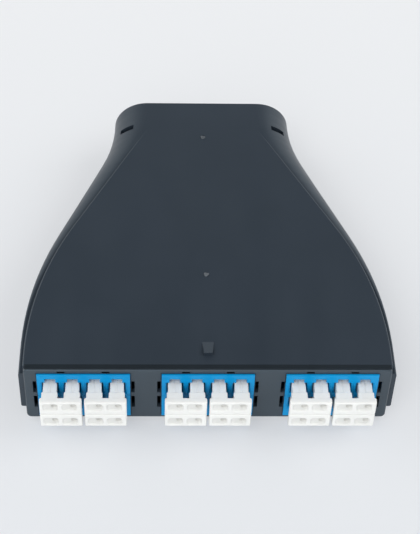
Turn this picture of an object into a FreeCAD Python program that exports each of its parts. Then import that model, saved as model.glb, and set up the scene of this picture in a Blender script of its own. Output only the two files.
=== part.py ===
"""Fibre cassette: a bottle-shaped two-shell housing that carries LC ports in
front and multi-fibre ports in its neck.

Frame (mm): X to the right, Y from the front towards the neck, Z up.  The origin
is the middle of the front panel's face, on the parting plane of the two shells.
"""
import FreeCAD
import Part
import math
import os

V = FreeCAD.Vector

# ---- LC ports -------------------------------------------------------------
port_pitch = 6.25
ports_per_adapter = 4
bays = 3
adapter_width = 26.1
adapter_height = 9.25
adapter_length = 26.0
adapter_proud = 0.5          # front of the adapters ahead of the panel's face
adapter_clearance = 0.12
flange_reach = 0.8
flange_thick = 2.0
flange_at = 10.6             # front of the flange behind the adapter's front
port_axis_height = 3.25      # fibre axis above the parting plane
port_width = 4.7
latch_slot_width = 3.0
latch_slot_height = 1.85
port_depth = 10.0
port_lead_in = 0.35
sleeve_holder_radius = 1.6
sleeve_holder_reach = 6.0
ferrule_radius = 0.625
fit_gap = 0.05               # between parts that slide into one another
adapter_front = -adapter_proud
adapter_rear = adapter_front + adapter_length

# ---- housing --------------------------------------------------------------
depth = 111.7                # front panel's face to the rim of the neck
front_half_width = 53.3      # side band at the front
neck_half_width = 28.7       # side band at the rim of the neck
shoulder_start = 9.9         # where the side begins to bend in
flare_angle = 20.5           # degrees, straight stretch of the waisted side
shoulder_share = 2 / 3       # of the sum of both bends' radii
wall = 1.8
band_half_height = 7.5       # side band where it guides the cassette in its tray
band_edge_radius = 0.6
band_step = 4.0              # from one section of the skin to the next
swell_start = 20.0           # where the band begins to grow into the neck
swell_inset = 8.0            # from the rim, where the neck's section is reached
guide_step = 1.4             # band that shows beside the raised flat faces
head_room = 0.15             # over the adapters
deck_bend_start = 5.2
deck_bend_radius = 112.6
deck_angle = 26.6            # degrees, straight edges that run up to the neck
deck_inset = 10.0            # from the rim, where the neck's skin covers the deck
deck_edge_radius = 0.5
neck_rise = 0.03             # neck over the deck, so that it buries the deck's end
neck_side_flat = 0.43        # half of the flat between the neck's rounded corners
neck_room_inset = 16.0       # from the rim, where the hollow takes the neck's form
deck_half_width = front_half_width - guide_step
deck_half_height = adapter_height + head_room + wall
deck_end = depth - deck_inset
neck_half_height = deck_half_height + neck_rise
neck_corner_radius = neck_half_height - neck_side_flat
swell_end = depth - swell_inset
neck_room_start = depth - neck_room_inset
skin_middle = deck_half_height - wall / 2    # where ribs and bosses take root

# ---- front panel ----------------------------------------------------------
panel_proud = 1.5            # panel thickness, all of it ahead of the shells
panel_inset = 1.6            # end of the panel inside the side band
panel_bar = 1.5              # over the openings
panel_end_bar = 3.68         # beside the outer openings
panel_corner_radius = 1.3
panel_edge = 0.3
tongue_thick = 1.5
tongue_reach = 6.0
tongue_half_height = 5.4
tongue_clearance = 0.15
notch_width = 1.15           # side windows of each opening in the panel
notch_height = 5.05
notch_gap = 0.8
relief_width = 2.2           # small reliefs above and below each opening
relief_height = 0.8
relief_depth = 0.5
panel_half_width = front_half_width - panel_inset
panel_half_height = adapter_height + panel_bar
bay_pitch = 2 * (panel_half_width - panel_end_bar - adapter_width / 2) / (bays - 1)

# ---- LC dust caps --------------------------------------------------------
cap_gap = 0.7                # between two caps side by side
cap_half_seam = 0.06         # half of the gap between upper and lower caps
cap_height = 5.4
cap_front = 7.25             # front of the caps ahead of the panel
cap_block = 1.9
cap_collar = 1.95
cap_collar_width = 4.5
cap_blade_width = 3.85
cap_blade_height = 4.3
cap_blade_reach = 3.4        # into the port
cap_edge = 0.3
cap_pocket_width = 4.3
cap_pocket_height = 2.9
cap_pocket_shallow = 0.15
cap_pocket_deep = 0.85
cap_groove_width = 0.7
cap_groove_depth = 0.25

# ---- inner LC plugs ------------------------------------------------------
plug_width = port_width - 4 * fit_gap
plug_length = 12.4
plug_latch_width = latch_slot_width - 4 * fit_gap
plug_latch_start = 1.0
plug_latch_root = 0.3        # how far the latch is sunk into the housing
plug_latch_rise = 1.5
boot_length = 7.0
boot_root = 3.0
boot_radius = 1.7
boot_tip_radius = 1.0

# ---- fan-out -------------------------------------------------------------
fibre_thick = 0.9
fibre_steps = 4              # straight lengths that make up each bend
fibre_pitch = 1.1            # fibres side by side in the fan-out block
block_inset = 38.0           # front of the fan-out block from the neck's rim
block_length = 4.0
block_width = 8.4
block_half_height = 4.2
ribbon_width = 3.2
ribbon_thick = 0.4
ribbon_length = 2.5
saddle_inset = 1.0
block_front = depth - block_inset

# ---- multi-fibre end -----------------------------------------------------
multi_offset = 12.5          # connector axis from the middle plane
multi_proud = 2.5            # adapter behind the neck's rim
multi_length = 20.5
multi_width = 12.8
multi_height = 9.4
multi_port_width = 9.8
multi_port_height = 6.8
multi_port_depth = 9.0
multi_flange_reach = 1.5
multi_flange_thick = 2.0
multi_ferrule_width = 6.4
multi_ferrule_height = 2.5
multi_ferrule_length = 7.0
multi_clearance = 0.1
multi_plug_width = 12.0
multi_plug_height = 7.6
multi_plug_body = 8.5
multi_boot_length = 4.5
multi_boot_width = 6.4
multi_boot_height = 4.6
multi_boot_tip = 0.7         # tip of the boot as a share of its root
rear_plate_inset = 8.5       # from the neck's rim
rear_plate_thick = 2.0
rear_plate_clearance = 0.15
hook_reach = 1.4
hook_thick = 0.9
arm_thick = 1.2
arm_angle = 22.0             # degrees of the neck's corner that a hook spans
multi_cap_plug = 6.0
multi_cap_block = 3.0
multi_cap_width = 12.0
multi_cap_height = 8.6
multi_rear = depth + multi_proud
multi_front = multi_rear - multi_length
rear_plate_at = depth - rear_plate_inset

# ---- neck windows, gate marks, ramp, bosses -------------------------------
window_inset = 11.1          # from the neck's rim
window_angle = 36.5          # degrees from straight up, round the neck's corner
window_width = 4.9
window_length = 2.2
gate_front = 35.8
gate_inset = 16.4            # rear gate from the neck's rim
gate_radius = 0.9
gate_depth = 0.15
gate_nub_radius = 0.45
ramp_front = 5.2
ramp_length = 5.7
ramp_height = 1.0
ramp_front_width = 2.4
ramp_rear_width = 3.6
ramp_root = 0.2
boss_radius = 2.3
boss_gap = 0.6               # behind the adapters
pin_radius = 1.2
pin_length = 5.0
pin_clearance = 0.05
rear_boss_inset = 28.0       # from the neck's rim
rear_boss_offset = 7.5       # inside the neck's half width
lip_height = 0.8
lip_thick = 0.8
lip_clearance = 0.08
rib_thick = 1.2
rib_clearance = 0.1
overshoot = 1.0              # of cutters past the faces that they open
window_at = depth - window_inset
gate_marks = (gate_front, depth - gate_inset)
front_boss_at = adapter_rear + boss_gap + boss_radius
rear_boss_at = depth - rear_boss_inset


def box(x0, x1, y0, y1, z0, z1):
    """Block between two corners."""
    return Part.makeBox(x1 - x0, y1 - y0, z1 - z0, V(x0, y0, z0))


def bar(x, y0, y1, z, radius, sides):
    """Flat-sided bar along Y."""
    corners = []
    for k in range(sides + 1):
        angle = 2 * math.pi * (k + 0.5) / sides
        corners.append(V(x + radius * math.sin(angle), y0, z + radius * math.cos(angle)))
    return Part.Face(Part.makePolygon(corners)).extrude(V(0, y1 - y0, 0))


def post(x, y, z0, z1, radius):
    """Round bar along Z."""
    return Part.makeCylinder(radius, z1 - z0, V(x, y, z0), V(0, 0, 1))


def column(x, y, z0, z1, radius):
    """Eight-sided post along Z, as wide across its flats as a round one."""
    corners = []
    for k in range(9):
        angle = math.pi * (k + 0.5) / 4
        reach = radius / math.cos(math.pi / 8)
        corners.append(V(x + reach * math.cos(angle), y + reach * math.sin(angle), z0))
    return Part.Face(Part.makePolygon(corners)).extrude(V(0, 0, z1 - z0))


def prism(points, along):
    """Straight-sided solid: a closed polygon carried along a vector."""
    wire = Part.makePolygon(points + points[:1])
    return Part.Face(wire).extrude(along)


def joined(solids):
    """One solid out of pieces that meet."""
    return solids[0].multiFuse(solids[1:]).removeSplitter()


def mirrored_down(shape):
    """The same piece below the parting plane."""
    return shape.mirror(V(0, 0, 0), V(0, 0, 1))


def mirrored_left(shape):
    """The same piece left of the middle plane."""
    return shape.mirror(V(0, 0, 0), V(1, 0, 0))


def save(shape, name):
    shape.exportStep("parts/" + name + ".step")


# ---- plan curves -----------------------------------------------------------
def flare():
    """Centres and radii of the two bends of the waisted side, and its angle.

    The radii are what the width lost between front and neck leaves for the bends
    on either side of a straight stretch at the flare angle.
    """
    lean = math.radians(flare_angle)
    run = depth - shoulder_start
    drop = front_half_width - neck_half_width
    both = (run * math.tan(lean) - drop) / (1 / math.cos(lean) - 1)
    outer = both * shoulder_share
    inner = both - outer
    shoulder = V(front_half_width - outer, shoulder_start, 0)
    waist = V(neck_half_width + inner, depth, 0)
    return shoulder, outer, waist, inner, lean


def side_half_width(y):
    """Half width of the side band at y."""
    shoulder, outer, waist, inner, lean = flare()
    bend_end = shoulder + V(math.cos(lean), math.sin(lean), 0) * outer
    if y <= shoulder.y:
        return front_half_width
    if y <= bend_end.y:
        return shoulder.x + math.sqrt(outer ** 2 - (y - shoulder.y) ** 2)
    if y >= waist.y - inner * math.sin(lean):
        return waist.x - math.sqrt(inner ** 2 - (y - waist.y) ** 2)
    return bend_end.x - (y - bend_end.y) * math.tan(lean)


def side_plan(inset, y0, y1, z, height):
    """Solid whose plan is the side band's outline moved in by an inset."""
    shoulder, outer, waist, inner, lean = flare()
    outer -= inset
    inner += inset
    half = V(math.cos(lean / 2), math.sin(lean / 2), 0)
    full = V(math.cos(lean), math.sin(lean), 0)
    a = V(front_half_width - inset, y0, z)
    b = V(front_half_width - inset, shoulder.y, z)
    c = shoulder + full * outer + V(0, 0, z)
    d = waist - full * inner + V(0, 0, z)
    e = V(neck_half_width - inset, waist.y, z)
    f = V(neck_half_width - inset, y1, z)
    c_mid = shoulder + half * outer + V(0, 0, z)
    d_mid = waist - half * inner + V(0, 0, z)
    right = [Part.makeLine(a, b), Part.Arc(b, c_mid, c).toShape(), Part.makeLine(c, d),
             Part.Arc(d, d_mid, e).toShape()]
    if y1 > waist.y:
        right.append(Part.makeLine(e, f))
    left = [mirrored_left(edge) for edge in right]
    ends = [Part.makeLine(V(-a.x, a.y, z), a), Part.makeLine(f, V(-f.x, f.y, z))]
    outline = Part.Wire(Part.__sortEdges__(right + left + ends))
    return Part.Face(outline).extrude(V(0, 0, height))


def deck_plan(inset, y0, half_height):
    """Prism of the raised flat faces, moved in by an inset."""
    lean = math.radians(deck_angle)
    radius = deck_bend_radius - inset
    centre = V(deck_half_width - deck_bend_radius, deck_bend_start, -half_height)
    a = V(deck_half_width - inset, y0, -half_height)
    b = V(deck_half_width - inset, deck_bend_start, -half_height)
    c_mid = centre + V(radius * math.cos(lean / 2), radius * math.sin(lean / 2), 0)
    c = centre + V(radius * math.cos(lean), radius * math.sin(lean), 0)
    d = V(c.x - (deck_end - c.y) * math.tan(lean), deck_end, -half_height)
    right = [Part.makeLine(a, b), Part.Arc(b, c_mid, c).toShape(), Part.makeLine(c, d)]
    left = [mirrored_left(edge) for edge in right]
    ends = [Part.makeLine(V(-a.x, a.y, a.z), a), Part.makeLine(d, V(-d.x, d.y, d.z))]
    outline = Part.Wire(Part.__sortEdges__(right + left + ends))
    return Part.Face(outline).extrude(V(0, 0, 2 * half_height))


# ---- housing --------------------------------------------------------------
def rounded_section(y, half_width, half_height, radius):
    """Rounded rectangle square to Y, as a wire of four lines and four arcs."""
    x = half_width - radius
    z = half_height - radius
    k = radius * math.sqrt(0.5)
    edges = []
    for sx, sz in ((1, 1), (-1, 1), (-1, -1), (1, -1)):
        side = V(sx * half_width, y, sz * z)
        middle = V(sx * (x + k), y, sz * (z + k))
        top = V(sx * x, y, sz * half_height)
        if sx == sz:
            edges.append(Part.Arc(side, middle, top).toShape())
            edges.append(Part.makeLine(top, V(-sx * x, y, sz * half_height)))
        else:
            edges.append(Part.Arc(top, middle, side).toShape())
            edges.append(Part.makeLine(side, V(sx * half_width, y, -sz * z)))
    return Part.Wire(edges)


def band_section(y):
    """Section of the side band: low with a tight edge in front, round at the neck."""
    t = min(max((y - swell_start) / (swell_end - swell_start), 0.0), 1.0)
    swell = t * t * (3 - 2 * t)
    half_height = band_half_height + (neck_half_height - band_half_height) * swell
    radius = band_edge_radius + (neck_corner_radius - band_edge_radius) * swell
    return rounded_section(y, side_half_width(y), half_height, radius)


def band(y0, y1):
    """Side band and neck as one skin through closely spaced sections."""
    steps = round((y1 - y0) / band_step)
    sections = [band_section(y0 + (y1 - y0) * i / steps) for i in range(steps + 1)]
    return Part.makeLoft(sections, True, True)


def deck():
    """Raised flat faces with a small radius along their edges."""
    body = deck_plan(0, panel_proud, deck_half_height)
    rims = []
    for edge in body.Edges:
        flat = abs(edge.BoundBox.ZMax - edge.BoundBox.ZMin) < 1e-6
        if flat and edge.BoundBox.YMin < deck_end - 1e-3:
            rims.append(edge)
    return body.makeFillet(deck_edge_radius, rims)


def neck_window(side):
    """Cutter for the latch window in the neck's upper corner on one side."""
    y0 = window_at - window_length / 2
    cutter = box(-window_width / 2, window_width / 2, y0, y0 + window_length,
                 neck_corner_radius - 2 * wall, neck_corner_radius + wall)
    cutter.rotate(V(0, 0, 0), V(0, 1, 0), window_angle)
    cutter.translate(V(neck_half_width - neck_corner_radius, 0, neck_side_flat))
    return cutter if side > 0 else mirrored_left(cutter)


def gate_mark(y):
    """Ring left by the injection gate, sunk in the top face."""
    z = deck_half_height - gate_depth
    ring = post(0, y, z, deck_half_height + overshoot, gate_radius)
    return ring.cut(column(0, y, z, deck_half_height + overshoot, gate_nub_radius))


def cavity():
    """Hollow between the walls: side channels, the room under the decks, the neck."""
    channel = band_half_height - wall
    sides = side_plan(wall, 0, depth + wall, -channel, 2 * channel)
    room = deck_plan(wall, 0, deck_half_height - wall)
    mouth = rounded_section(neck_room_start, neck_half_width - wall, neck_half_height - wall,
                            neck_corner_radius - wall)
    neck = Part.Face(mouth).extrude(V(0, depth, 0))
    return sides.fuse([room, neck])


def housing_half():
    """Upper half of the housing's hollow skin, with windows and gate marks."""
    outer = band(panel_proud, depth).fuse(deck())
    skin = outer.cut(cavity())
    span = front_half_width + wall
    half = skin.common(box(-span, span, 0, depth, 0, neck_half_height + wall))
    cutters = [neck_window(1), neck_window(-1)] + [gate_mark(y) for y in gate_marks]
    return half.cut(cutters)


def adapter_ribs():
    """Pairs of ribs in the upper half that hold the adapters by their flanges."""
    front = adapter_front + flange_at
    reach = adapter_width / 2 + adapter_clearance
    end = deck_half_width - wall / 2
    sides = [-end]
    for bay in range(bays):
        sides += [bay_x(bay) - reach, bay_x(bay) + reach]
    sides.append(end)
    ribs = []
    for x0, x1 in zip(sides[::2], sides[1::2]):
        for y in (front - rib_clearance - rib_thick, front + flange_thick + rib_clearance):
            ribs.append(box(x0, x1, y, y + rib_thick, rib_clearance, skin_middle))
    return ribs


def boss_places():
    """Where the shells are pinned together: between bays and beside the neck."""
    front = bay_pitch / 2
    rear = neck_half_width - rear_boss_offset
    return [(-front, front_boss_at), (front, front_boss_at),
            (-rear, rear_boss_at), (rear, rear_boss_at)]


def lip(extra):
    """Tongue round the inside of the walls; extra makes the groove it enters."""
    outer = side_plan(wall - lip_thick - extra, panel_proud, depth, 0, lip_height + extra)
    inner = side_plan(wall + extra, 0, depth + wall, -wall, lip_height + 2 * wall)
    span = front_half_width
    rear_end = window_at - 2 * window_length + extra
    behind = box(-span, span, rear_end, depth + wall, -wall, wall)
    return outer.cut([inner, behind])


def bosses():
    return [column(x, y, 0, skin_middle, boss_radius) for x, y in boss_places()]


def top_shell():
    """Upper shell with ribs, sockets for the pins, the lip's groove and the ramp."""
    sockets = [column(x, y, -overshoot, pin_length + pin_clearance,
                      pin_radius + pin_clearance) for x, y in boss_places()]
    body = joined([housing_half()] + bosses() + adapter_ribs() + [ramp()])
    return body.cut(sockets + [lip(lip_clearance)])


def saddles():
    """Rests under the two fan-out blocks, drawn above the parting plane."""
    rests = []
    for side in (-1, 1):
        x = side * multi_offset
        rests.append(box(x - block_width / 2, x + block_width / 2, block_front + saddle_inset,
                         block_front + block_length - saddle_inset,
                         block_half_height, skin_middle))
    return rests


def bottom_shell():
    """Lower shell, the upper one's mirror image, with a lip and four pins on top."""
    upside = joined([housing_half()] + bosses() + adapter_ribs() + saddles())
    pins = [column(x, y, -overshoot, pin_length, pin_radius) for x, y in boss_places()]
    return joined([mirrored_down(upside), lip(0)] + pins)


def ramp():
    """Snap ramp on the top face that rises towards the front."""
    z = deck_half_height - ramp_root
    rise = ramp_height + ramp_root
    y0 = ramp_front
    y1 = ramp_front + ramp_length
    wedge = prism([V(-ramp_rear_width, y0, z), V(-ramp_rear_width, y1, z),
                   V(-ramp_rear_width, y0, z + rise)], V(2 * ramp_rear_width, 0, 0))
    plan = prism([V(-ramp_front_width / 2, y0, z), V(ramp_front_width / 2, y0, z),
                  V(ramp_rear_width / 2, y1, z), V(-ramp_rear_width / 2, y1, z)],
                 V(0, 0, rise))
    return wedge.common(plan)


# ---- front panel ----------------------------------------------------------
def bay_x(bay):
    """Middle of a bay, counted from the left."""
    return (bay - (bays - 1) / 2) * bay_pitch


def port_x(bay, port):
    """Axis of a port, counted from the left of its bay."""
    return bay_x(bay) + (port - (ports_per_adapter - 1) / 2) * port_pitch


def bay_opening(bay):
    """Cutter for one opening of the panel with its side windows and reliefs."""
    x = bay_x(bay)
    half_width = adapter_width / 2 + adapter_clearance
    half_height = adapter_height + adapter_clearance
    y0 = -overshoot
    y1 = panel_proud + overshoot
    cutters = [box(x - half_width, x + half_width, y0, y1, -half_height, half_height)]
    reach = half_width + notch_width
    for z in (notch_gap, -notch_gap - notch_height):
        cutters.append(box(x - reach, x + reach, y0, y1, z, z + notch_height))
    for offset in (-port_pitch, port_pitch):
        x0 = x + offset - relief_width / 2
        top = half_height + relief_height
        cutters.append(box(x0, x0 + relief_width, y0, relief_depth, -top, top))
    return joined(cutters)


def front_panel():
    """Bezel plate with three openings and tongues that reach between the shells."""
    plate = box(-panel_half_width, panel_half_width, 0, panel_proud,
                -panel_half_height, panel_half_height)
    corners = [e for e in plate.Edges
               if e.BoundBox.YLength > panel_proud / 2 and e.BoundBox.XLength < 1e-6]
    plate = plate.makeFillet(panel_corner_radius, corners)
    rim = [e for e in plate.Edges if e.BoundBox.YMax < 1e-6]
    plate = plate.makeChamfer(panel_edge, rim)
    plate = plate.cut([bay_opening(bay) for bay in range(bays)])
    side = bay_x(bays - 1) + adapter_width / 2 + adapter_clearance + notch_width
    middles = [bay_x(bay) + bay_pitch / 2 for bay in range(bays - 1)]
    middles.append(side + tongue_clearance + tongue_thick / 2)
    middles.append(-middles[-1])
    blades = [box(x - tongue_thick / 2, x + tongue_thick / 2, panel_proud / 2,
                  panel_proud + tongue_reach, -tongue_half_height, tongue_half_height)
              for x in middles]
    return joined([plate] + blades)


# ---- LC adapters, drawn above the parting plane -----------------------------
def port_bore(x, y0, y1):
    """Square bore of one port with the slot for the latch above it."""
    half = port_width / 2
    slot = latch_slot_width / 2
    high = port_axis_height + half
    bore = box(x - half, x + half, y0, y1, port_axis_height - half, high)
    latch = box(x - slot, x + slot, y0, y1, high - fit_gap, high + latch_slot_height)
    return bore.fuse(latch)


def lead_in(x, mouth):
    """Sloping rim of a port's mouth."""
    wires = []
    for y, half in ((mouth, port_width / 2 + port_lead_in), (mouth + port_lead_in, port_width / 2)):
        corners = [V(x + i * half, y, port_axis_height + k * half)
                   for i, k in ((-1, -1), (1, -1), (1, 1), (-1, 1), (-1, -1))]
        wires.append(Part.makePolygon(corners))
    return Part.makeLoft(wires, True, True)


def adapter(bay):
    """Quad LC adapter: ports from both ends, with a sleeve holder in each front one."""
    x = bay_x(bay)
    y0 = adapter_front
    y1 = adapter_rear
    half = adapter_width / 2
    body = box(x - half, x + half, y0, y1, fit_gap, adapter_height)
    flange = box(x - half - flange_reach, x + half + flange_reach, y0 + flange_at,
                 y0 + flange_at + flange_thick, fit_gap, adapter_height)
    body = body.fuse(flange)
    web = y0 + port_depth
    for port in range(ports_per_adapter):
        px = port_x(bay, port)
        front = port_bore(px, y0 - fit_gap, web)
        holder = bar(px, web - sleeve_holder_reach, web, port_axis_height,
                     sleeve_holder_radius, 8)
        rear = port_bore(px, y1 - port_depth, y1 + fit_gap)
        hole = bar(px, y0, y1, port_axis_height, ferrule_radius + fit_gap, 6)
        body = body.cut([front.cut(holder), lead_in(px, y0), rear, hole])
    return body


# ---- inner LC plugs --------------------------------------------------------
def plug_front():
    """Front of the inner plugs' housings, behind the adapters' middle web."""
    return adapter_rear - port_depth + 2 * fit_gap


def plugs():
    """Plug housings of one row, each with a latch that slopes up rearwards."""
    y0 = plug_front()
    y1 = y0 + plug_length
    half = plug_width / 2
    top = port_axis_height + half
    solids = []
    for bay in range(bays):
        for port in range(ports_per_adapter):
            x = port_x(bay, port)
            body = box(x - half, x + half, y0, y1, port_axis_height - half, top)
            x0 = x - plug_latch_width / 2
            root = top - plug_latch_root
            arm = prism([V(x0, y0 + plug_latch_start, root), V(x0, y1, root),
                         V(x0, y1, top + plug_latch_rise)], V(plug_latch_width, 0, 0))
            solids.append(body.fuse(arm))
    return Part.makeCompound(solids)


def ferrule_front():
    """Mating plane of the ferrules, half way along the adapter."""
    return adapter_front + adapter_length / 2


def ferrules():
    """Ferrules of one row of inner plugs."""
    y0 = ferrule_front()
    solids = [bar(port_x(bay, port), y0, plug_front(), port_axis_height, ferrule_radius, 6)
              for bay in range(bays) for port in range(ports_per_adapter)]
    return Part.makeCompound(solids)


def boots():
    """Flat-sided boots behind one row of inner plugs, each with a thinner end."""
    y0 = plug_front() + plug_length
    step = y0 + boot_root
    solids = []
    for bay in range(bays):
        for port in range(ports_per_adapter):
            x = port_x(bay, port)
            root = bar(x, y0, step, port_axis_height, boot_radius, 8)
            tip = bar(x, step, y0 + boot_length, port_axis_height, boot_tip_radius, 8)
            solids.append(root.fuse(tip))
    return Part.makeCompound(solids)


# ---- fan-out ---------------------------------------------------------------
def fibre(start, end):
    """Square fibre that leaves and arrives along Y, in two bends as wide as there is room."""
    run = end.y - start.y
    shift = end.x - start.x
    side = math.copysign(1, shift)
    radius = (run ** 2 + shift ** 2) / (4 * abs(shift))
    turn = math.asin(run / (2 * radius))
    half = fibre_thick / 2
    left, right = [], []
    for k in range(fibre_steps + 1):
        angle = turn * k / fibre_steps
        across = V(math.cos(angle), -math.sin(angle) * side, 0)
        middle = V(radius * (1 - math.cos(angle)) * side, radius * math.sin(angle), -half)
        left.append(start + middle - across * half)
        right.append(start + middle + across * half)
    back = start + end - V(0, 0, fibre_thick)
    left += [back - p for p in reversed(right[:fibre_steps])]
    right += [back - p for p in reversed(left[:fibre_steps])]
    outline = left + right[::-1] + left[:1]
    return Part.Face(Part.makePolygon(outline)).extrude(V(0, 0, fibre_thick))


def fibre_ends(side):
    """Start and end points of the fibres of one half of the ports."""
    y0 = plug_front() + plug_length + boot_length
    ports = [port_x(bay, port) for bay in range(bays) for port in range(ports_per_adapter)]
    own = [x for x in ports if x * side > 0]
    ends = []
    for i, x in enumerate(own):
        slot = side * multi_offset + (i - (len(own) - 1) / 2) * fibre_pitch
        for z in (-port_axis_height, port_axis_height):
            ends.append((V(x, y0, z), V(slot, block_front, z)))
    return ends


def fan_out(side):
    """Loose fibres of one side, from the boots to the fan-out block."""
    return Part.makeCompound([fibre(start, end) for start, end in fibre_ends(side)])


def fan_out_block(side):
    """Block where loose fibres are gathered into a ribbon."""
    x = side * multi_offset
    return box(x - block_width / 2, x + block_width / 2, block_front,
               block_front + block_length, -block_half_height, block_half_height)


def ribbon(side):
    """Flat ribbon from the fan-out block to the boot of the multi-fibre plug."""
    x = side * multi_offset
    y0 = block_front + block_length
    return box(x - ribbon_width / 2, x + ribbon_width / 2, y0, y0 + ribbon_length,
               -ribbon_thick / 2, ribbon_thick / 2)


# ---- multi-fibre end -------------------------------------------------------
def centred(side, width, y0, y1, height):
    """Block on a multi-fibre connector's axis."""
    x = side * multi_offset
    return box(x - width / 2, x + width / 2, y0, y1, -height / 2, height / 2)


def multi_boot(side):
    """Boot that narrows from the plug's body down to the ribbon."""
    x = side * multi_offset
    y0 = block_front + block_length + ribbon_length
    wires = []
    for y, share in ((y0, multi_boot_tip), (y0 + multi_boot_length, 1.0)):
        w = multi_boot_width * share / 2
        h = multi_boot_height * share / 2
        wires.append(Part.makePolygon([V(x - w, y, -h), V(x + w, y, -h), V(x + w, y, h),
                                       V(x - w, y, h), V(x - w, y, -h)]))
    return Part.makeLoft(wires, True, True)


def multi_plug_rear():
    """Inner end of the multi-fibre plug, where its boot is fitted."""
    return block_front + block_length + ribbon_length + multi_boot_length


def multi_middle():
    """Mating plane of the multi-fibre adapter."""
    return multi_front + multi_length / 2


def multi_plug(side):
    """Multi-fibre plug: grip body, nose in the adapter and a pocket for its ferrule."""
    nose_end = multi_front + multi_port_depth - multi_clearance
    body = centred(side, multi_plug_width, multi_plug_rear(),
                   multi_plug_rear() + multi_plug_body, multi_plug_height)
    nose = centred(side, multi_port_width - 2 * multi_clearance,
                   multi_plug_rear() + multi_plug_body / 2,
                   nose_end, multi_port_height - 2 * multi_clearance)
    pocket = centred(side, multi_ferrule_width, multi_middle() - multi_ferrule_length,
                     nose_end + overshoot, multi_ferrule_height)
    return body.fuse(nose).removeSplitter().cut(pocket)


def multi_ferrule(side):
    """Flat ferrule that reaches to the middle of the adapter."""
    return centred(side, multi_ferrule_width, multi_middle() - multi_ferrule_length,
                   multi_middle(), multi_ferrule_height)


def multi_adapter(side):
    """Multi-fibre adapter: a port from each end with a web between them."""
    y1 = multi_rear
    body = centred(side, multi_width, multi_front, y1, multi_height)
    flange = centred(side, multi_width + 2 * multi_flange_reach,
                     rear_plate_at - multi_flange_thick, rear_plate_at, multi_height)
    cutters = [centred(side, multi_port_width, multi_front - overshoot,
                       multi_front + multi_port_depth, multi_port_height),
               centred(side, multi_port_width, y1 - multi_port_depth, y1 + overshoot,
                       multi_port_height),
               centred(side, multi_ferrule_width + 2 * multi_clearance, multi_front, y1,
                       multi_ferrule_height + 2 * multi_clearance)]
    return body.fuse(flange).removeSplitter().cut(cutters)


def corner_ring(y0, y1, inner, outer):
    """Four short arcs that follow the neck's rounded corners, inside them."""
    centre = V(neck_half_width - neck_corner_radius, y0, neck_side_flat)

    def spot(radius, share):
        turn = math.radians(window_angle + share * arm_angle)
        return centre + V(radius * math.sin(turn), 0, radius * math.cos(turn))

    edges = [Part.Arc(spot(outer, -0.5), spot(outer, 0), spot(outer, 0.5)).toShape(),
             Part.makeLine(spot(outer, 0.5), spot(inner, 0.5)),
             Part.Arc(spot(inner, 0.5), spot(inner, 0), spot(inner, -0.5)).toShape(),
             Part.makeLine(spot(inner, -0.5), spot(outer, -0.5))]
    ring = Part.Face(Part.Wire(edges)).extrude(V(0, y1 - y0, 0))
    arcs = []
    for arc in (ring, mirrored_left(ring)):
        arcs += [arc, mirrored_down(arc)]
    return arcs


def rear_plate():
    """Plate across the neck with hooked arms that snap into the neck's windows."""
    gap = wall + rear_plate_clearance
    wire = rounded_section(rear_plate_at, neck_half_width - gap, neck_half_height - gap,
                           neck_corner_radius - gap)
    plate = Part.Face(wire).extrude(V(0, rear_plate_thick, 0))
    for side in (-1, 1):
        plate = plate.cut(centred(side, multi_width + 2 * multi_clearance, 0, depth,
                                  multi_height + 2 * multi_clearance))
    outer = neck_corner_radius - gap
    hook_from = window_at - hook_thick / 2
    arms = corner_ring(hook_from, rear_plate_at + rear_plate_thick / 2, outer - arm_thick, outer)
    hooks = corner_ring(hook_from, hook_from + hook_thick, outer - arm_thick,
                        outer + hook_reach)
    return joined([plate] + arms + hooks)


# ---- dust caps -------------------------------------------------------------
def dust_cap(bay, pair):
    """Duplex LC dust cap of the upper row: a block, two collars and two blades."""
    x = (port_x(bay, 2 * pair) + port_x(bay, 2 * pair + 1)) / 2
    half = port_pitch - cap_gap / 2
    low = cap_half_seam
    top = cap_half_seam + cap_height
    block_back = -cap_front + cap_block
    collar_back = block_back + cap_collar
    blade_end = adapter_front + cap_blade_reach
    block = box(x - half, x + half, -cap_front, block_back, low, top)
    rim = [e for e in block.Edges if e.BoundBox.YMax < block_back - cap_block / 2]
    block = block.makeChamfer(cap_edge, rim)
    legs = []
    grooves = []
    pockets = []
    for px in (x - port_pitch / 2, x + port_pitch / 2):
        collar = cap_collar_width / 2
        blade = cap_blade_width / 2
        legs.append(box(px - collar, px + collar, block_back - cap_block / 2, collar_back,
                        top - cap_blade_height, top))
        legs.append(box(px - blade, px + blade, collar_back - cap_collar / 2,
                        blade_end, top - cap_blade_height, top))
        groove = cap_groove_width / 2
        grooves.append(box(px - groove, px + groove, collar_back - cap_collar / 2,
                           blade_end + overshoot, top - cap_groove_depth,
                           top + overshoot))
        left = px - cap_pocket_width / 2
        right = px + cap_pocket_width / 2
        z = (low + top - cap_pocket_height) / 2
        mouth = -cap_front - overshoot
        pockets.append(prism([V(left, mouth, z), V(right, mouth, z),
                              V(right, -cap_front + cap_pocket_deep, z),
                              V(left, -cap_front + cap_pocket_shallow, z)],
                             V(0, 0, cap_pocket_height)))
    return joined([block] + legs).cut(grooves + pockets)


def multi_cap(side):
    """Dust cap of a multi-fibre port: a plug and a ribbed grip."""
    y0 = multi_rear
    plug = centred(side, multi_port_width - 2 * multi_clearance, y0 - multi_cap_plug,
                   y0 + multi_cap_block / 2, multi_port_height - 2 * multi_clearance)
    grip = centred(side, multi_cap_width, y0 + fit_gap, y0 + multi_cap_block, multi_cap_height)
    rim = [e for e in grip.Edges if e.BoundBox.YMin > y0 + multi_cap_block / 2]
    grip = grip.makeChamfer(cap_edge, rim)
    return joined([plug, grip])


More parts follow.
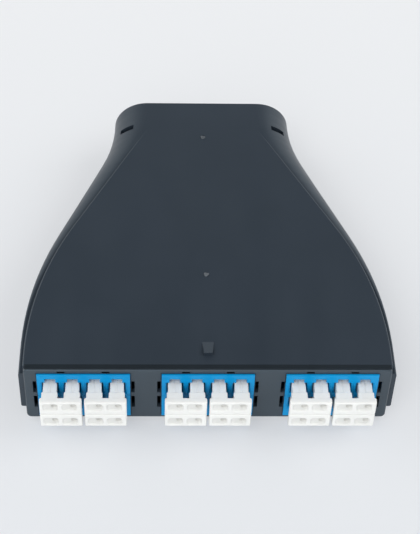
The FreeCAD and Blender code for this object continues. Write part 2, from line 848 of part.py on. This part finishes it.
# ---- the object -------------------------------------------------------------
def main():
    os.makedirs("parts", exist_ok=True)
    save(top_shell(), "top_shell")
    save(bottom_shell(), "bottom_shell")
    save(front_panel(), "front_panel")
    for row, turned in (("upper", lambda s: s), ("lower", mirrored_down)):
        for bay in range(bays):
            save(turned(adapter(bay)), "lc_adapter_%s_%d" % (row, bay + 1))
            for pair in range(2):
                name = "lc_dust_cap_%s_%d" % (row, 2 * bay + pair + 1)
                save(turned(dust_cap(bay, pair)), name)
        save(turned(plugs()), "inner_lc_plugs_" + row)
        save(turned(ferrules()), "lc_ferrules_" + row)
        save(turned(boots()), "lc_boots_" + row)
    save(rear_plate(), "rear_plate")
    for side, word in ((-1, "left"), (1, "right")):
        save(fan_out(side), "fan_out_fibres_" + word)
        save(fan_out_block(side), "fan_out_block_" + word)
        save(ribbon(side), "fibre_ribbon_" + word)
        save(multi_boot(side), "multifibre_boot_" + word)
        save(multi_plug(side), "multifibre_plug_" + word)
        save(multi_ferrule(side), "multifibre_ferrule_" + word)
        save(multi_adapter(side), "multifibre_adapter_" + word)
        save(multi_cap(side), "multifibre_dust_cap_" + word)


main()
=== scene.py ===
import math
import bpy
import numpy as np
from mathutils import Matrix, Vector


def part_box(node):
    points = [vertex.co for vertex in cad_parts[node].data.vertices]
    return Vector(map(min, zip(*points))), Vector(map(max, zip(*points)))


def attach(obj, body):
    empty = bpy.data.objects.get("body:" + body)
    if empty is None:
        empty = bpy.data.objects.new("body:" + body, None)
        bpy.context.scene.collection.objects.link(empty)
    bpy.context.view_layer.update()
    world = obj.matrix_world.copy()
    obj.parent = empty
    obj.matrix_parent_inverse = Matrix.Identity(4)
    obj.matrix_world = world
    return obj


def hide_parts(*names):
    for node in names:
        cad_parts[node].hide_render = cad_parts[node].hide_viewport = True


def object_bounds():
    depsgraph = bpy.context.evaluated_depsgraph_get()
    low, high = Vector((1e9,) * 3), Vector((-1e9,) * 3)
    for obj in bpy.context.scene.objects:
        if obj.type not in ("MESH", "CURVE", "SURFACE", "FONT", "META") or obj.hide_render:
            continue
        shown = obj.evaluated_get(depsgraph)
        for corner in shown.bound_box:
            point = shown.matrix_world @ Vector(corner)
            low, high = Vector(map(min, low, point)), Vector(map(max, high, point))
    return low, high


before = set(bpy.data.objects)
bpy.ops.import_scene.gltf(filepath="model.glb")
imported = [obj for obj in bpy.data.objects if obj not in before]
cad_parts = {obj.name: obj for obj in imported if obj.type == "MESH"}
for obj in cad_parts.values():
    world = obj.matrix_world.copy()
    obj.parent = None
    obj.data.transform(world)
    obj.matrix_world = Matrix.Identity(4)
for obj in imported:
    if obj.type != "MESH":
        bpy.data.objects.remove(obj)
cad_box = [list(corner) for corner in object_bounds()]
scene = bpy.context.scene

# ---- Table, light and camera ---------------------------------------------------
# The cassette lies on white paper in a room with pale walls and a dark ceiling,
# which keeps gloss off its top. Soft lamps stand at both sides and, low and high,
# in front.
scene.view_settings.view_transform = "Standard"
table_height = cad_box[0][2] - 0.0002
table_reach = 3
table = bpy.data.objects.new("table", bpy.data.meshes.new("table"))
corners = [(x * table_reach, y * table_reach, table_height)
           for x, y in ((-1, -1), (1, -1), (1, 1), (-1, 1))]
table.data.from_pydata(corners, [], [(0, 1, 2, 3)])
scene.collection.objects.link(table)
paper = bpy.data.materials.new("table_paper")
paper.use_nodes = True
paper_nodes, paper_links = paper.node_tree.nodes, paper.node_tree.links
paper_shader = paper_nodes["Principled BSDF"]
paper_shader.inputs["Base Color"].default_value = (0.77, 0.785, 0.80, 1)
paper_shader.inputs["Roughness"].default_value = 0.85
# The paper also glows a little, brighter towards the back, for what the eye sees
# of it and for what mirrors it.
glow = paper_nodes.new("ShaderNodeEmission")
spot = paper_nodes.new("ShaderNodeTexCoord")
parts = paper_nodes.new("ShaderNodeSeparateXYZ")
away = paper_nodes.new("ShaderNodeMapRange")
away.inputs["From Min"].default_value = -0.05
away.inputs["From Max"].default_value = 0.3
sweep = paper_nodes.new("ShaderNodeValToRGB")
sweep.color_ramp.elements[0].color = (0.80, 0.82, 0.86, 1)
sweep.color_ramp.elements[1].color = (0.98, 0.98, 0.99, 1)
paper_links.new(spot.outputs["Object"], parts.inputs["Vector"])
paper_links.new(parts.outputs["Y"], away.inputs["Value"])
paper_links.new(away.outputs["Result"], sweep.inputs["Fac"])
paper_links.new(sweep.outputs["Color"], glow.inputs["Color"])
rays = paper_nodes.new("ShaderNodeLightPath")
seen, seen_through, share = (paper_nodes.new("ShaderNodeMath") for step in range(3))
for step, operation in ((seen, "MAXIMUM"), (seen_through, "MAXIMUM"), (share, "MULTIPLY")):
    step.operation = operation
share.inputs[1].default_value = 0.5
sheet = paper_nodes.new("ShaderNodeMixShader")
paper_links.new(rays.outputs["Is Camera Ray"], seen.inputs[0])
paper_links.new(rays.outputs["Is Glossy Ray"], seen.inputs[1])
paper_links.new(seen.outputs["Value"], seen_through.inputs[0])
paper_links.new(rays.outputs["Is Transmission Ray"], seen_through.inputs[1])
paper_links.new(seen_through.outputs["Value"], share.inputs[0])
paper_links.new(share.outputs["Value"], sheet.inputs["Fac"])
paper_links.new(paper_shader.outputs["BSDF"], sheet.inputs[1])
paper_links.new(glow.outputs["Emission"], sheet.inputs[2])
paper_links.new(sheet.outputs["Shader"], paper_nodes["Material Output"].inputs["Surface"])
table.data.materials.append(paper)

room = bpy.data.worlds.new("room")
room.use_nodes = True
scene.world = room
room_nodes, room_links = room.node_tree.nodes, room.node_tree.links
heading = room_nodes.new("ShaderNodeTexCoord")
toward_ceiling = room_nodes.new("ShaderNodeVectorMath")
toward_ceiling.operation = "DOT_PRODUCT"
toward_ceiling.inputs[1].default_value = (0, 0.2, 0.98)
ceiling = room_nodes.new("ShaderNodeMapRange")
ceiling.interpolation_type = "SMOOTHSTEP"
for socket, value in (("From Min", 0.57), ("From Max", 0.87),
                      ("To Min", 0.95), ("To Max", 0.08)):
    ceiling.inputs[socket].default_value = value
walls = room_nodes["Background"]
walls.inputs["Color"].default_value = (0.95, 0.98, 1.0, 1)
room_links.new(heading.outputs["Generated"], toward_ceiling.inputs[0])
room_links.new(toward_ceiling.outputs["Value"], ceiling.inputs["Value"])
room_links.new(ceiling.outputs["Result"], walls.inputs["Strength"])


def soft_lamp(name, place, target, size, power):
    """Square lamp that faces its target."""
    light = bpy.data.lights.new(name, "AREA")
    light.size = size
    light.energy = power
    lamp = bpy.data.objects.new(name, light)
    scene.collection.objects.link(lamp)
    lamp.location = place
    aim = Vector(target) - Vector(place)
    lamp.rotation_euler = aim.to_track_quat("-Z", "Y").to_euler()


soft_lamp("right_lamp", (1.1, 0.1, 0.95), (0, 0.05, 0), 1.0, 7)
soft_lamp("left_lamp", (-1.0, 0.4, 0.9), (0, 0.05, 0), 1.0, 3)
soft_lamp("low_front_lamp", (-0.45, -1.25, 0.5), (0, 0, 0), 1.0, 3.5)
soft_lamp("high_front_lamp", (-0.5, -0.75, 1.25), (0, 0.03, 0), 0.8, 6)

camera = bpy.data.objects.new("camera", bpy.data.cameras.new("camera"))
scene.collection.objects.link(camera)
camera.data.lens = 100.1
camera.data.sensor_width = 36
camera.data.clip_start = 0.01
turn, tilt, roll = (math.radians(angle) for angle in (-2.92, 42.48, 2.36))
camera.matrix_world = (Matrix.Translation((-0.01396, -0.25793, 0.33562))
                       @ Matrix.Rotation(turn, 4, "Z") @ Matrix.Rotation(tilt, 4, "X")
                       @ Matrix.Rotation(roll, 4, "Z"))
scene.camera = camera

# ---- Housing: two shells, front panel and rear plate ---------------------------
# Injection-moulded in dark slate-grey plastic with a fine sparked grain, snapped
# together on the parting plane.


def moulded_skin():
    """Node group: moulded grain as a bump, with slow drifts of tone and of gloss.

    Grain is noise of the given size; Drift is a cloud some centimetres wide, and
    Haze a streaky one, both from 0 to 1.
    """
    group = bpy.data.node_groups.new("moulded_skin", "ShaderNodeTree")
    face = group.interface
    face.new_socket("Grain Size", in_out="INPUT", socket_type="NodeSocketFloat")
    face.new_socket("Grain Depth", in_out="INPUT", socket_type="NodeSocketFloat")
    face.new_socket("Normal", in_out="OUTPUT", socket_type="NodeSocketVector")
    face.new_socket("Drift", in_out="OUTPUT", socket_type="NodeSocketFloat")
    face.new_socket("Haze", in_out="OUTPUT", socket_type="NodeSocketFloat")
    nodes, links = group.nodes, group.links
    given = nodes.new("NodeGroupInput")
    out = nodes.new("NodeGroupOutput")
    place = nodes.new("ShaderNodeTexCoord")
    pits = nodes.new("ShaderNodeTexNoise")
    pits.inputs["Detail"].default_value = 3
    pits.inputs["Roughness"].default_value = 0.6
    links.new(place.outputs["Object"], pits.inputs["Vector"])
    links.new(given.outputs["Grain Size"], pits.inputs["Scale"])
    bump = nodes.new("ShaderNodeBump")
    bump.inputs["Distance"].default_value = 0.00004
    links.new(given.outputs["Grain Depth"], bump.inputs["Strength"])
    links.new(pits.outputs["Fac"], bump.inputs["Height"])
    drift = nodes.new("ShaderNodeTexNoise")
    drift.inputs["Scale"].default_value = 45
    drift.inputs["Detail"].default_value = 4
    links.new(place.outputs["Object"], drift.inputs["Vector"])
    stretch = nodes.new("ShaderNodeMapping")
    stretch.inputs["Scale"].default_value = (90, 25, 90)
    links.new(place.outputs["Object"], stretch.inputs["Vector"])
    haze = nodes.new("ShaderNodeTexNoise")
    haze.inputs["Scale"].default_value = 1
    haze.inputs["Detail"].default_value = 5
    links.new(stretch.outputs["Vector"], haze.inputs["Vector"])
    links.new(bump.outputs["Normal"], out.inputs["Normal"])
    links.new(drift.outputs["Fac"], out.inputs["Drift"])
    links.new(haze.outputs["Fac"], out.inputs["Haze"])
    return group


skin_group = moulded_skin()


def plastic(name, tones, gloss, grain_size, grain_depth, shine=0.5):
    """Moulded plastic: colour drifts between two tones and roughness in a range."""
    material = bpy.data.materials.new(name)
    material.use_nodes = True
    nodes, links = material.node_tree.nodes, material.node_tree.links
    shader = nodes["Principled BSDF"]
    shader.inputs["Specular IOR Level"].default_value = shine
    skin = nodes.new("ShaderNodeGroup")
    skin.node_tree = skin_group
    skin.inputs["Grain Size"].default_value = grain_size
    skin.inputs["Grain Depth"].default_value = grain_depth
    tint = nodes.new("ShaderNodeValToRGB")
    for stop, place, tone in zip(tint.color_ramp.elements, (0.35, 0.65), tones):
        stop.position = place
        stop.color = (*tone, 1)
    rough = nodes.new("ShaderNodeMapRange")
    rough.inputs["From Min"].default_value = 0.3
    rough.inputs["From Max"].default_value = 0.7
    rough.inputs["To Min"].default_value = gloss[0]
    rough.inputs["To Max"].default_value = gloss[1]
    links.new(skin.outputs["Drift"], tint.inputs["Fac"])
    links.new(tint.outputs["Color"], shader.inputs["Base Color"])
    links.new(skin.outputs["Haze"], rough.inputs["Value"])
    links.new(rough.outputs["Result"], shader.inputs["Roughness"])
    links.new(skin.outputs["Normal"], shader.inputs["Normal"])
    return material


def finish(node, material):
    """Gives a node of the frame its finish."""
    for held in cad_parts[node].material_slots:
        held.material = material


slate = plastic("slate_plastic", ((0.0225, 0.031, 0.043), (0.025, 0.034, 0.047)),
                (0.34, 0.42), 2600, 0.35)
# Painted light: the front panel gets a lighter copy of the shells' slate, so that its front
# face shows brighter, as the light from the front makes it.
lit_panel_slate = plastic("lit_panel_slate", ((0.036, 0.048, 0.061), (0.040, 0.053, 0.067)),
                      (0.36, 0.44), 2600, 0.35)
for kind in (slate, lit_panel_slate):
    tinted = kind.node_tree.nodes["Principled BSDF"].inputs["Specular Tint"]
    tinted.default_value = (0.75, 0.9, 1.0, 1)
for node in ("bottom_shell", "top_shell", "rear_plate"):
    finish(node, slate)
finish("front_panel", lit_panel_slate)

# ---- Panel ledges --------------------------------------------------------------
# Small ledges of the same plastic, moulded across the foot of each relief in the
# front panel, above and below the adapters.
ledge_width = 0.0022
ledge_foot = 0.00005         # both from the adapter's upper or lower side
ledge_top = 0.0003
ledge_front = 0.00002
ledge_rear = 0.0005
ledge_edge = 0.00005
ledge_pitch = 0.0125


def spread(low, high, edge, pitch):
    """Lines across a block from side to side, close together where its edges round."""
    bend = edge * (1 - np.cos(np.linspace(0, np.pi / 2, 5)))
    count = max(int(round((high - low - 2 * edge) / pitch)), 1)
    flat = np.linspace(low + edge, high - edge, count + 1)
    return np.concatenate([low + bend[:-1], flat, high - bend[-2::-1]])


def rounded_block(low, high, edge, pitch):
    """Points and quads of a closed block with rounded edges.

    Each point of a gridded plain block is pulled to the nearest place in the block
    that is smaller by the edge radius all round, then pushed out by that radius
    along the same line.
    """
    low, high = np.array(low), np.array(high)
    lines = [spread(low[a], high[a], edge, pitch) for a in range(3)]
    points, quads, start = [], [], 0
    for axis in range(3):
        across, along = (axis + 1) % 3, (axis + 2) % 3
        u, v = np.meshgrid(lines[across], lines[along], indexing="ij")
        rows, columns = u.shape
        first = (np.arange(rows - 1)[:, None] * columns + np.arange(columns - 1)).ravel()
        ring = np.stack([first, first + columns, first + columns + 1, first + 1], axis=1)
        for level, order in ((low[axis], ring[:, ::-1]), (high[axis], ring)):
            face = np.empty((u.size, 3))
            face[:, axis] = level
            face[:, across] = u.ravel()
            face[:, along] = v.ravel()
            points.append(face)
            quads.append(order + start)
            start += u.size
    points, quads = np.concatenate(points), np.concatenate(quads)
    inner = np.clip(points, low + edge, high - edge)
    away = points - inner
    length = np.linalg.norm(away, axis=1, keepdims=True)
    points = inner + edge * away / np.maximum(length, 1e-9)
    weld_steps = 1e7                            # in a metre
    _, first, same = np.unique(np.round(points * weld_steps).astype(np.int64), axis=0,
                               return_index=True, return_inverse=True)
    return points[first], same.ravel()[quads]


def smooth_piece(name, points, faces, material, body, slot):
    """Smooth-shaded mesh object that rides on a body."""
    mesh = bpy.data.meshes.new(name)
    mesh.from_pydata(points.tolist(), [], faces)
    mesh.polygons.foreach_set("use_smooth", np.ones(len(mesh.polygons), bool))
    mesh.materials.append(material)
    piece = bpy.data.objects.new(name, mesh)
    scene.collection.objects.link(piece)
    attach(piece, body)
    return piece


def moulded(name, shells, material, body, slot):
    """Piece made of one or more closed shells of quads."""
    counts = np.cumsum([0] + [len(points) for points, quads in shells])
    points = np.concatenate([points for points, quads in shells])
    quads = np.concatenate([quads + n for (points_in, quads), n in zip(shells, counts)])
    return smooth_piece(name, points, quads.tolist(), material, body, slot)


ledges = []
for k in (1, 2, 3):
    for row, up in (("upper", 1), ("lower", -1)):
        low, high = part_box(f"lc_adapter_{row}_{k}")
        foot = high.z if up > 0 else low.z
        for side in (-0.5, 0.5):
            x = (low.x + high.x) / 2 + side * ledge_pitch
            levels = sorted((foot + up * ledge_foot, foot + up * ledge_top))
            ledges.append(rounded_block((x - ledge_width / 2, ledge_front, levels[0]),
                                        (x + ledge_width / 2, ledge_rear, levels[1]),
                                        ledge_edge, 0.001))
moulded("panel_ledges", ledges, slate, "cassette", "housing")

# ---- Seam shadow strip ---------------------------------------------------------
# A near-black bar laid into the corner between the top face's front edge and the
# panel's upper side: painted shadow standing for the shaded groove there.
strip_half_width = 0.0514
strip_front = 0.0004
strip_rear = 0.00195         # over the shell's rounded edge, which starts at 1.5 mm
strip_sink = 0.00005         # its foot in the panel
strip_drop = 0.00004         # from the neck's top, just under the flat face
strip_edge = 0.00015
# Painted shadow: near-black tones for the shade in the seam.
seam_shadow_paint = plastic("seam_shadow_paint", ((0.008, 0.013, 0.018), (0.010, 0.016, 0.022)),
                      (0.5, 0.6), 3000, 0.2, 0.2)
strip_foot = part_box("front_panel")[1].z - strip_sink
strip_top = -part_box("bottom_shell")[0].z - strip_drop
strip = rounded_block((-strip_half_width, strip_front, strip_foot),
                      (strip_half_width, strip_rear, strip_top), strip_edge, 0.002)
moulded("painted_seam_shadow_strip", [strip], seam_shadow_paint, "cassette", "housing")

# ---- Gate scars ----------------------------------------------------------------
# Where the injection gate was torn off, a rough pale nub stays in a shallow ring
# on the top face.
scar_places = (0.0358, 0.0953)
scar_radius = 0.0008
scar_height = 0.00018
scar_root = 0.0002           # below the ring's floor
scar_eye = 0.12              # share of the radius at which the fans close it


def torn_nub(y, top):
    """Closed dome on a polar grid.

    Its height falls off as a quarter circle towards the rim, times a ripple of
    five waves round it, and the rim itself waves three times. A fan closes it at
    the top and another below.
    """
    around = np.linspace(0, 2 * np.pi, 24, endpoint=False)
    out = np.concatenate([np.linspace(scar_eye, 1, 8), [scar_eye]])
    angle, share = np.meshgrid(around, out, indexing="ij")
    reach = scar_radius * share * (1 + 0.12 * np.sin(3 * angle + 0.7))
    rise = (scar_height * np.sqrt(np.clip(1 - share ** 2, 0, 1))
            * (1 + 0.25 * np.sin(5 * angle)))
    rise[:, -1] = -scar_root
    points = np.stack([reach * np.cos(angle), y + reach * np.sin(angle), top + rise],
                      axis=2)
    rows, columns = share.shape
    start = np.arange(rows) * columns
    after = np.roll(start, -1)
    j = np.arange(columns - 1)
    here, there = start[:, None] + j, after[:, None] + j
    quads = np.stack([here, here + 1, there + 1, there], axis=2).reshape(-1, 4)
    peak = rows * columns
    points = np.concatenate([points.reshape(-1, 3), [[0, y, top + scar_height],
                                                     [0, y, top - scar_root]]])
    last = columns - 1
    upper = np.stack([np.full(rows, peak), start, after], axis=1)
    under = np.stack([np.full(rows, peak + 1), after + last, start + last], axis=1)
    return points, quads.tolist() + upper.tolist() + under.tolist()


scar_grey = plastic("gate_scar", ((0.06, 0.07, 0.08), (0.1, 0.115, 0.13)),
                    (0.5, 0.65), 6000, 0.6)
scar_foot = -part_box("bottom_shell")[0].z - 0.00003       # the neck stands that much higher
for number, y in enumerate(scar_places, 1):
    smooth_piece(f"gate_scar_{number}", *torn_nub(y, scar_foot), scar_grey, "cassette",
                 "housing")

# ---- LC adapters and the plugs inside ------------------------------------------
# Quad adapters in smooth blue plastic, with blue plug housings, white ceramic
# ferrules and soft pale boots pushed in from the rear.
blue = plastic("adapter_blue", ((0.001, 0.27, 0.60), (0.002, 0.30, 0.65)),
               (0.28, 0.34), 900, 0.1, 0.2)
ceramic = plastic("ferrule_ceramic", ((0.84, 0.84, 0.8), (0.86, 0.86, 0.83)),
                  (0.1, 0.14), 600, 0.02)
boot_rubber = plastic("boot_rubber", ((0.7, 0.7, 0.68), (0.76, 0.76, 0.74)),
                      (0.6, 0.7), 2000, 0.2)
for row in ("upper", "lower"):
    for k in (1, 2, 3):
        finish(f"lc_adapter_{row}_{k}", blue)
    finish("inner_lc_plugs_" + row, blue)
    finish("lc_ferrules_" + row, ceramic)
    finish("lc_boots_" + row, boot_rubber)

# ---- Adapter gap shadows -------------------------------------------------------
# A thin black strip round each stack of adapters, at the edge of its opening in the
# panel, is painted shadow for the gap between them.
adapter_width = 0.0261
gap_shadow_width = 0.0003
gap_shadow_front = -0.00003
gap_shadow_rear = 0.0004
gap_shadow_edge = 0.00006
# Painted shadow: near-black tones for the shade in the gap round the adapters.
gap_shadow_black = plastic("gap_shadow_black", ((0.003, 0.008, 0.018), (0.004, 0.010, 0.022)),
                     (0.5, 0.6), 3000, 0.2)
strips = []
for k in (1, 2, 3):
    low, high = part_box(f"lc_adapter_lower_{k}")[0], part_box(f"lc_adapter_upper_{k}")[1]
    x = (low.x + high.x) / 2
    edge = adapter_width / 2
    for side in (-1, 1):
        sides = sorted((x + side * edge, x + side * (edge + gap_shadow_width)))
        strips.append(rounded_block((sides[0], gap_shadow_front, low.z - gap_shadow_width),
                                    (sides[1], gap_shadow_rear, high.z + gap_shadow_width),
                                    gap_shadow_edge, 0.001))
        foot = high.z if side > 0 else low.z
        levels = sorted((foot, foot + side * gap_shadow_width))
        strips.append(rounded_block((x - edge, gap_shadow_front, levels[0]),
                                    (x + edge, gap_shadow_rear, levels[1]), gap_shadow_edge, 0.001))
moulded("adapter_gap_shadows", strips, gap_shadow_black, "cassette", "adapter")

# ---- Fibres and trunk connectors -----------------------------------------------
# Yellow buffered fibres fan in to black blocks and go on as ribbons into green
# multi-fibre plugs, which sit in black adapters in the neck.
jacket = plastic("fibre_jacket", ((0.75, 0.5, 0.02), (0.8, 0.56, 0.03)),
                 (0.35, 0.45), 1500, 0.1)
black = plastic("black_plastic", ((0.012, 0.012, 0.013), (0.016, 0.016, 0.017)),
                (0.4, 0.5), 2000, 0.3)
green = plastic("trunk_plug_green", ((0.03, 0.24, 0.08), (0.04, 0.27, 0.1)),
                (0.3, 0.4), 1200, 0.1)
for side in ("left", "right"):
    for kind in ("fan_out_fibres", "fibre_ribbon"):
        finish(f"{kind}_{side}", jacket)
    for kind in ("fan_out_block", "multifibre_boot", "multifibre_ferrule",
                 "multifibre_adapter"):
        finish(f"{kind}_{side}", black)
    finish("multifibre_plug_" + side, green)

# ---- LC dust caps --------------------------------------------------------------
# Soft white plastic, one cap for two ports: a grip block with two scooped pockets,
# greyed by painted shade the deeper they go, and behind it two collars with grooved
# blades that plug the ports.
white = plastic("cap_white", ((0.83, 0.825, 0.80), (0.86, 0.855, 0.83)),
                (0.4, 0.5), 1800, 0.12)
white_nodes, white_links = white.node_tree.nodes, white.node_tree.links
# Painted shade: the depth of each point below the cap's front multiplies the white towards
# grey, darkening the pockets and dimples.
sunk = white_nodes.new("ShaderNodeAttribute")
sunk.attribute_name = "sunk"
pocket_shade_mix = white_nodes.new("ShaderNodeMix")
pocket_shade_mix.data_type = "RGBA"
pocket_shade_mix.blend_type = "MULTIPLY"
mix_share, mix_a, mix_b, mix_result = 0, 6, 7, 2     # colour sockets of a Mix node
# The grey that the painted shade reaches at the deepest points.
pocket_shade_mix.inputs[mix_b].default_value = (0.5, 0.49, 0.47, 1)
white_shader = white_nodes["Principled BSDF"]
plain_tint = white_shader.inputs["Base Color"].links[0].from_socket
white_links.new(sunk.outputs["Fac"], pocket_shade_mix.inputs[mix_share])
white_links.new(plain_tint, pocket_shade_mix.inputs[mix_a])
white_links.new(pocket_shade_mix.outputs[mix_result], white_shader.inputs["Base Color"])
cap_edge = 0.00042
block_pitch = 0.00016        # of the points on its faces
leg_pitch = 0.0002
collar_edge = 0.0003
collar_width = 0.0045
collar_step = 0.00004        # down from the block's face
blade_width = 0.00385
blade_step = 0.0001
blade_height = 0.0043
collar_rear = 0.0039         # behind the cap's front
block_rear = 0.0019
port_pitch = 0.00625
pocket_size = (0.0045, 0.0032)
pocket_pitch = 0.00535
pocket_shift = -0.00023
pocket_rise = 0.0004         # away from the seam between upper and lower caps
pocket_depths = (0.0004, 0.0007)     # at its left and right ends
pocket_wall = 0.0003
pocket_corner = 0.34         # share of its height
dimple_radius = 0.001
dimple_inset = 0.00115       # its middle from the pocket's right end
dimple_depth = 0.0011
dimple_wall = 0.8            # share of its radius
groove_width = 0.0005
groove_depth = 0.0002


def soft_step(value):
    """Smooth rise from 0 to 1."""
    value = np.clip(value, 0, 1)
    return value * value * (3 - 2 * value)


def scooped(points, front, centre, size, depths, dimple):
    """Front face sunk into a pocket that slopes down towards +X to a round dimple.

    The depth is a straight slope across the pocket times a soft step that grows
    with the distance inside its rounded outline, and the dimple adds a soft step of
    the distance inside its circle.
    """
    x = points[:, 0] - centre[0]
    z = points[:, 2] - centre[1]
    corner = size[1] * pocket_corner
    reach = np.maximum(np.abs(np.stack([x, z], axis=1)) - np.array(size) / 2 + corner, 0)
    inside = corner - np.linalg.norm(reach, axis=1)
    share = np.clip(x / size[0] + 0.5, 0, 1)
    depth = (depths[0] + (depths[1] - depths[0]) * share) * soft_step(inside / pocket_wall)
    away = np.hypot(x - size[0] / 2 + dimple_inset, z)
    depth += dimple * soft_step((dimple_radius - away) / (dimple_wall * dimple_radius))
    moved = points.copy()
    moved[:, 1] += np.where(points[:, 1] < front + cap_edge, depth, 0)
    return moved


def mark_pocket_shade_depth(cap, front, deepest):
    """Stores on each point how deep it lies below the cap's front, from 0 to 1.

    Only points of the block whose normal looks forward count, the rest keep 0. The
    cap's material greys each point by this share, as painted shade in the pockets.
    """
    mesh = cap.data
    spots, normals = np.empty(len(mesh.vertices) * 3), np.empty(len(mesh.vertices) * 3)
    mesh.vertices.foreach_get("co", spots)
    mesh.vertices.foreach_get("normal", normals)
    behind = spots[1::3] - front
    forward = (normals[1::3] < -0.2) & (behind < block_rear - 0.00005)
    share = np.where(forward, np.clip(behind / deepest, 0, 1), 0)
    mesh.attributes.new("sunk", "FLOAT", "POINT").data.foreach_set("value", share)


def lc_leg(x, y0, y1, width, outer, up):
    """Shell of one collar or blade; outer is its face away from the seam."""
    inner = outer - up * blade_height
    return rounded_block((x - width / 2, y0, min(outer, inner)),
                         (x + width / 2, y1, max(outer, inner)), collar_edge, leg_pitch)


def lc_cap(node):
    """Shells of one duplex cap: block with two pockets, collars and blades."""
    low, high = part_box(node)
    up = 1 if low.z > -0.001 else -1
    outer = high.z if up > 0 else low.z
    rear = low.y + block_rear
    middle = (low.x + high.x) / 2
    points, quads = rounded_block(low, (high.x, rear, high.z), cap_edge, block_pitch)
    legs = []
    for side in (-1, 1):
        centre = (middle + pocket_shift + side * pocket_pitch / 2,
                  (low.z + high.z) / 2 + up * pocket_rise)
        points = scooped(points, low.y, centre, pocket_size, pocket_depths, dimple_depth)
        x = middle + side * port_pitch / 2
        legs.append(lc_leg(x, rear - 2 * cap_edge, low.y + collar_rear, collar_width,
                           outer - up * collar_step, up))
        blade, sides = lc_leg(x, rear, high.y, blade_width, outer - up * blade_step, up)
        on_face = np.abs(blade[:, 2] - outer) < blade_step + 0.3 * collar_edge
        groove = groove_depth * (1 - soft_step(np.abs(blade[:, 0] - x) / groove_width))
        blade[:, 2] -= up * np.where(on_face, groove, 0)
        legs.append((blade, sides))
    return [(points, quads)] + legs


for row in ("upper", "lower"):
    for k in range(1, 7):
        node = f"lc_dust_cap_{row}_{k}"
        cap = moulded(f"moulded_cap_{row}_{k}", lc_cap(node), white,
                      f"{row}_cap_{k}", "cap")
        mark_pocket_shade_depth(cap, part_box(node)[0].y, pocket_depths[1] + dimple_depth)
        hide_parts(node)

# ---- Trunk dust caps -----------------------------------------------------------
# The same white plastic: a plug that fills the adapter's mouth and a grip block
# with one wide pocket.
trunk_block = 0.003
trunk_edge = 0.0005
trunk_pocket = (0.0086, 0.0046)
trunk_pocket_depth = 0.0006
trunk_plug_half = (0.0048, 0.0033)
trunk_plug_edge = 0.0004
trunk_plug_root = 0.001      # in the block


def trunk_cap(node):
    """Shells of one cap: grip block with a pocket in its outer face, and the plug."""
    low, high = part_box(node)
    front = high.y - trunk_block
    points, quads = rounded_block((low.x, front, low.z), high, trunk_edge, 0.0003)
    middle = ((low.x + high.x) / 2, (low.z + high.z) / 2)
    mirror = np.array([1, -1, 1])
    points = scooped(points * mirror, -high.y, middle, trunk_pocket,
                     (trunk_pocket_depth, trunk_pocket_depth), 0) * mirror
    half_x, half_z = trunk_plug_half
    plug = rounded_block((middle[0] - half_x, low.y, middle[1] - half_z),
                         (middle[0] + half_x, front + trunk_plug_root, middle[1] + half_z),
                         trunk_plug_edge, 0.0006)
    return [(points, quads), plug]


for side in ("left", "right"):
    node = "multifibre_dust_cap_" + side
    cap = moulded("moulded_trunk_cap_" + side, trunk_cap(node), white,
                  "trunk_cap_" + side, "cap")
    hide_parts(node)
